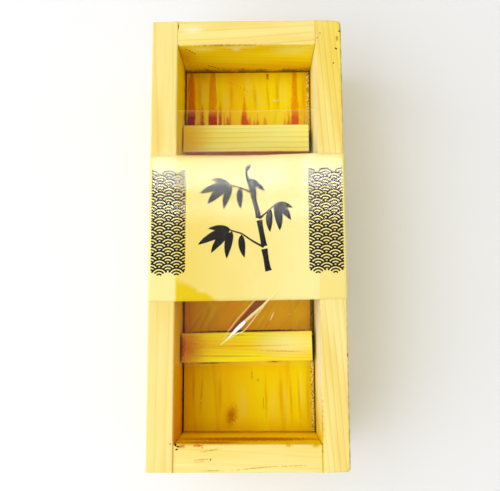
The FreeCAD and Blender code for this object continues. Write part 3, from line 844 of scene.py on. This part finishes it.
# Bamboo canes: points along each with its half width, in mm on the flat paper
CANES = (
    ((9.5, -15.5, 1.5), (9.0, -13.5, 1.25), (8.2, -8.5, 1.2), (7.7, -5.6, 1.45)),
    ((7.6, -4.4, 1.45), (7.2, -2.0, 1.2), (6.0, 4.5, 1.15), (5.5, 7.4, 1.4)),
    ((5.3, 8.5, 1.35), (4.8, 11.0, 1.1), (3.2, 17.0, 1.0), (2.6, 19.4, 1.25)),
    ((2.4, 20.5, 1.2), (1.8, 22.5, 0.95), (0.3, 27.0, 0.85), (-0.6, 30.0, 0.5)),
    ((7.4, -4.8, 0.5), (2.5, -2.0, 0.4), (-2.5, 1.5, 0.35), (-8.0, 3.2, 0.3)),
    ((5.4, 8.0, 0.5), (10.0, 12.0, 0.4), (13.5, 15.0, 0.3)),
    ((2.5, 20.0, 0.5), (-3.0, 22.5, 0.4), (-8.5, 24.0, 0.3)),
)
# Leaves: the stalk's place, the leaf's direction in degrees, its length and half width
LEAVES = (
    (-8.0, 3.2, 196, 15.5, 1.9),
    (-8.0, 3.0, 222, 13.0, 1.8),
    (-6.8, 2.6, 250, 12.5, 1.7),
    (-7.5, 3.4, 168, 10.0, 1.4),
    (-2.5, 1.0, 268, 10.5, 1.5),
    (-8.5, 24.0, 188, 13.5, 1.8),
    (-8.5, 23.8, 214, 13.0, 1.9),
    (-7.0, 23.6, 243, 11.5, 1.6),
    (-3.0, 22.3, 262, 9.5, 1.4),
    (-8.0, 24.4, 156, 8.5, 1.2),
    (13.5, 15.0, -8, 7.5, 1.2),
    (13.5, 15.0, -42, 10.0, 1.7),
    (12.8, 14.4, -72, 12.0, 1.8),
    (10.5, 12.4, -100, 10.5, 1.5),
    (-0.6, 30.0, 62, 4.5, 0.9),
    (0.4, 26.5, -28, 9.5, 1.4),
    (0.6, 26.0, -58, 9.0, 1.3),
)


def stroke(points, faces, centres, widths, seed, lift=INK, sag=sag, slant=BAND_SLANT):
    """Adds one brush stroke: a strip along centres, as wide each side as widths, with slightly rough edges."""
    centres, widths = np.array(centres, float), np.array(widths, float)
    run = np.concatenate([[0], np.cumsum(np.hypot(*np.diff(centres, axis=0).T))])
    count = max(4, round(run[-1] / INK_STEP))
    places = np.linspace(0, run[-1], count + 1)
    line = np.stack([np.interp(places, run, centres[:, k]) for k in (0, 1)], axis=1)
    widths = np.interp(places, run, widths)
    ahead = np.gradient(line, axis=0)
    across = np.stack([-ahead[:, 1], ahead[:, 0]], axis=1) / np.hypot(ahead[:, 0], ahead[:, 1])[:, None]
    first = len(points)
    for i, (spot, side, width) in enumerate(zip(line, across, widths)):
        for share in (-1, -0.5, 0, 0.5, 1):
            rough = 1 + 0.1 * noise.noise(Vector((places[i] * 0.9, share, seed)))
            x, y = spot + side * width * share * rough
            points.append(on_band(x, y, lift, sag, slant))
        if i:
            for j in range(4):
                a = first + 5 * (i - 1) + j
                faces.append((a, a + 5, a + 6, a + 1))


def waves(points, faces, left, right, bottom, top):
    """Adds rows of overlapping waves between two upright borders. Each hides the lower half of those behind."""
    row, y = 0, bottom
    while y + WAVE <= top:
        x = left + (WAVE if row % 2 == 0 else 0)
        while x <= right + 0.1:
            for share, half_width in WAVE_LINES:
                hidden = math.acos(min(1, (share * share + 0.25) / (2 * share) / math.sqrt(1.25)))
                start = hidden - math.atan(0.5)
                end = math.pi - start
                start, end = (start, math.pi / 2) if x < left + 0.1 else (start, end)
                start, end = (math.pi / 2, end) if x > right - 0.1 else (start, end)
                turns = np.linspace(start, end, 9)
                arc = [(x + WAVE * share * math.cos(a), y + WAVE * share * math.sin(a)) for a in turns]
                stroke(points, faces, arc, [half_width] * 9, row + share)
            x += 2 * WAVE
        y += WAVE / 2
        row += 1


sumi_ink, tree, shader = bare_finish("soot ink", 0.5, DULL)
place = node(tree, "TexCoord", (), out=3)
dry = {"Vector": place, "Scale": 1 / (DRY_BRUSH * MM), "Detail": 4.0, "Roughness": 0.7}
dry = node(tree, "TexNoise", dry)
soot = node(tree, "ValToRGB", (dry,), stops=((0.5, "#0A0906"), (0.85, "#3A3620")))
tree.links.new(soot, shader.inputs["Base Color"])

ink_points, ink_faces = [], []
for seed, cane in enumerate(CANES):
    stroke(ink_points, ink_faces, [p[:2] for p in cane], [p[2] for p in cane], seed)
for seed, (x, y, angle, length, half_width) in enumerate(LEAVES):
    shares = np.linspace(0, 1, 12)
    bend = math.radians(angle) + 0.35 * shares * (1 if 90 < angle % 360 < 270 else -1)
    steps = np.stack([np.cos(bend), np.sin(bend)], axis=1) * length / 11
    centres = np.concatenate([[(0, 0)], np.cumsum(steps[:-1], axis=0)]) + (x, y)
    widths = half_width * np.sin(math.pi * shares**0.75) ** 0.8 + 0.05
    stroke(ink_points, ink_faces, centres, widths, 20 + seed)
settle("brush_print", ink_points, ink_faces, sumi_ink, "band", [])

wave_points, wave_faces = [], []
for left, right in ((-43.0, -27.6), (27.6, 43.0)):
    waves(wave_points, wave_faces, left, right, -17.5, 32.0)
settle("wave_print", wave_points, wave_faces, sumi_ink, "band", [])


# Clear film
# A sleeve of thin clear film over the band, longer than it is. The light that its cut edge and creases catch
# is painted on as pale strips: painted highlights.
FILM = 0.08  # mm above the paper
FILM_ROUGHNESS = 0.1
FILM_NEAR, FILM_FAR = -57.0, 58.3


def film_sag(x, y):
    """The film is stiffer than the paper and hangs less, the same all along."""
    over = max(0.0, 1 - (x / (well_x - 1)) ** 2)
    return 0.9 * over**1.5


clear_film, tree, shader = bare_finish("clear film", FILM_ROUGHNESS)
tree.nodes.remove(shader)
gloss = node(tree, "BsdfGlossy", {"Color": (1, 1, 1, 1), "Roughness": FILM_ROUGHNESS})
through = node(tree, "BsdfTransparent", ())
facing = node(tree, "LayerWeight", {"Blend": 0.5}, out=1)
facing = node(tree, "Math", (facing, 4.0), operation="POWER")
share = node(tree, "MapRange", (facing, 0.0, 1.0, 0.014, 0.4))
film = node(tree, "MixShader", (share, through, gloss))
tree.links.new(film, tree.nodes["Material Output"].inputs["Surface"])
film_stations = np.linspace(FILM_NEAR, FILM_FAR, 56)
sleeve = wrap("film_sleeve", across_stations, film_stations, FILM, clear_film, [], film_sag, 0.0)

# Each fold or crease: its finish and colour, how much of what is below it hides, how far it lies above the
# paper, and points along its strips with their half widths, in mm. The doubled fold is tucked under the
# paper's edge.
# The cut edge, glints and crease are pale strips painted as highlights.
for name, film_state, colour, cover, lift, strips in (
    (
        "film_fold", "doubled film in shade", "#6E2402", 0.85, -0.6,
        (((6.7, -27.4, 1.9), (5.5, -28.9, 1.8), (-2.8, -37.5, 1.05), (-5.8, -40.6, 0.7), (-7.9, -42.4, 0.1)),),
    ),
    (
        "film_edge", "painted highlight on the film's cut edge", "#FFEE9C", 0.4, FILM + 0.02,
        (((-31.5, FILM_FAR, 0.08), (31.5, FILM_FAR, 0.08)),),
    ),
    (
        "film_glints", "painted glints on creased film", "#FFF4B4", 0.7, FILM + 0.02,
        (
            ((12.9, -24.8, 0.2), (6.5, -31.1, 0.5), (2.0, -34.9, 0.6), (-1.4, -37.9, 0.55), (-3.2, -39.6, 0.3)),
            (
                (7.4, -31.1, 0.1), (5.5, -33.1, 0.15), (1.0, -38.9, 0.18), (-1.4, -41.8, 0.22), (-5.3, -43.5, 0.2),
                (-9.2, -46.1, 0.1),
            ),
            ((5.5, -26.2, 0.06), (2.5, -29.2, 0.1), (-4.3, -36.5, 0.13), (-8.5, -42.0, 0.13), (-10.7, -45.7, 0.06)),
            ((11.8, -33.6, 0.08), (10.8, -35.6, 0.22), (9.9, -37.5, 0.08)),
            ((-7.2, -43.7, 0.35), (-9.4, -45.8, 0.3), (-11.9, -48.0, 0.15)),
        ),
    ),
    (
        "film_crease", "painted glint on a film crease", "#FFFEFA", 0.95, FILM + 0.04,
        (((-1.0, -37.6, 0.4), (-2.2, -38.8, 0.85), (-4.6, -41.0, 0.75), (-7.2, -43.7, 0.4), (-8.4, -44.8, 0.1)),),
    ),
):
    finish, tree, shader = bare_finish(film_state, 0.35, 0.1)
    shader.inputs["Base Color"].default_value = linear(colour)
    shader.inputs["Alpha"].default_value = cover
    hang = sag if name == "film_fold" else film_sag
    points, faces = [], []
    for seed, strip in enumerate(strips):
        stroke(points, faces, [p[:2] for p in strip], [p[2] for p in strip], 60 + seed, lift, hang, 0.0)
    settle(name, points, faces, finish, "band", [])


# Floor, lamps and backdrop
# A plain matt white table under a wide window on the left, with soft light from all round. It takes the box's
# shadow, and further off it runs out into the backdrop.
TABLE, BACKDROP = "#F7F8F7", "#F7F7F4"
TABLE_REACH = 3.0  # m from the middle
RUN_OUT = (0.4, 1.0)  # m from the middle, where it turns into the backdrop


def seen_rays(tree):
    """1 where a camera, glossy or transmitted ray looks at a backdrop, and 0 where it only lights the scene."""
    camera_ray, glossy_ray, through_ray = (node(tree, "LightPath", (), out=k) for k in (0, 3, 6))
    seen = node(tree, "Math", (camera_ray, glossy_ray), operation="MAXIMUM")
    return node(tree, "Math", (seen, through_ray), operation="MAXIMUM")


matt_white, tree, shader = bare_finish("matt white table top", 0.9)
shader.inputs["Base Color"].default_value = linear(TABLE)
far_off = node(tree, "VectorMath", (node(tree, "TexCoord", (), out=3),), out=1, operation="LENGTH")
far_off = node(tree, "MapRange", (far_off, *RUN_OUT), interpolation_type="SMOOTHSTEP")
far_off = node(tree, "Math", (far_off, seen_rays(tree)), operation="MULTIPLY")
white = node(tree, "Emission", {"Color": linear(BACKDROP)})
table = node(tree, "MixShader", (far_off, shader.outputs[0], white))
tree.links.new(table, tree.nodes["Material Output"].inputs["Surface"])
floor_mesh = bpy.data.meshes.new("table_top")
corners = [(x * TABLE_REACH, y * TABLE_REACH, 0) for x, y in ((-1, -1), (1, -1), (1, 1), (-1, 1))]
floor_mesh.from_pydata(corners, [], [(0, 1, 2, 3)])
floor_mesh.materials.append(matt_white)
floor = bpy.data.objects.new("table_top", floor_mesh)
bpy.context.scene.collection.objects.link(floor)
floor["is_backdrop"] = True

# The backdrop gives a warm dim light, and looks plain white.
world = bpy.data.worlds.new("studio")
world.use_nodes = True
tree = world.node_tree
tree.nodes["Background"].inputs["Color"].default_value = (1.0, 0.96, 0.84, 1)
tree.nodes["Background"].inputs["Strength"].default_value = 0.42
backdrop = node(tree, "Background", {"Color": linear(BACKDROP)})
backdrop = node(tree, "MixShader", (seen_rays(tree), tree.nodes["Background"].outputs[0], backdrop))
tree.links.new(backdrop, tree.nodes["World Output"].inputs["Surface"])
bpy.context.scene.world = world


def lamp(name, place, aim, size, radiance, colour=(1, 1, 1)):
    """A soft rectangular lamp. place and aim in mm, size in metres, radiance in units of full white."""
    data = bpy.data.lights.new(name, "AREA")
    data.shape = "RECTANGLE"
    data.size, data.size_y = size
    data.color = colour
    data.energy = radiance * math.pi * size[0] * size[1]
    thing = bpy.data.objects.new(name, data)
    thing.location = Vector(place) * MM
    thing.rotation_euler = (Vector(aim) - Vector(place)).to_track_quat("-Z", "Y").to_euler()
    bpy.context.scene.collection.objects.link(thing)
    return thing


lamp("window", (-680, -150, 720), (0, 0, 30), (1.25, 1.0), 1.82, (0.97, 1.0, 1.2))
ceiling = lamp("ceiling", (0, 0, 1500), (0, 0, 0), (1.6, 1.6), 0.3)
ceiling.visible_glossy = False
for end in (-1, 1):
    lamp(f"end_lamp_{end}", (-200, 1000 * end, 700), (0, 0, 30), (1.0, 0.6), 1.0)
lamp("right_lamp", (1000, 0, 520), (0, 0, 30), (1.0, 0.5), 0.9)
# Three small panes that only show as the streaks of light in the film.
for name, x, y, size, radiance in (
    ("left_pane", -85, 150, (0.17, 0.035), 30.0),
    ("right_pane", 95, 150, (0.155, 0.035), 30.0),
    ("thin_pane", 0, 108, (0.34, 0.018), 15.0),
):
    pane = lamp(name, (x, y, 564), (x, y, 0), size, radiance)
    pane.visible_diffuse = False

bpy.context.scene.view_settings.view_transform = "Standard"

low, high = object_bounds()
